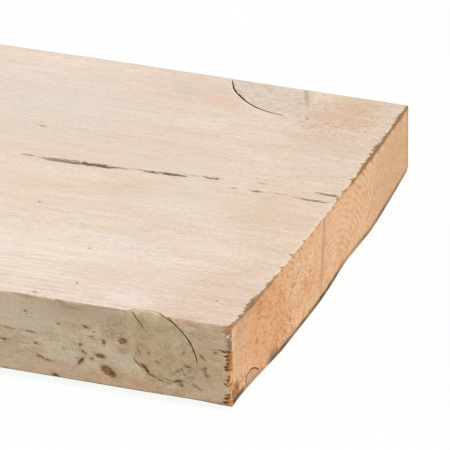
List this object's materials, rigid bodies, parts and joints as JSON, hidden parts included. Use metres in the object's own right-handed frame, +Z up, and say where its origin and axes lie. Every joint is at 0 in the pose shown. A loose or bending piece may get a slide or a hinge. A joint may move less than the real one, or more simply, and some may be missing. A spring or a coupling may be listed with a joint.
{
  "type": "timber plank",
  "caption": "Sawn softwood plank with a cupped section, weathered faces, drying cracks round its knots and a splintered saw-cut end.",
  "frame": {"origin": "centre of the plank's length and width, at the level of the floor that it lies on", "axes": "+X along the length, towards the splintered saw-cut end; +Y across the width, from the knotted edge to the waney edge; +Z up, out of the hollow face"},
  "size_m": [1.5, 0.195, 0.0352],
  "materials": {
    "weathered_wood": "sawn softwood, brushed and weathered, matt; fresh orange-tan end grain at the saw cut"
  },
  "bodies": {
    "root": {"plank": "weathered_wood"}
  },
  "joints": []
}
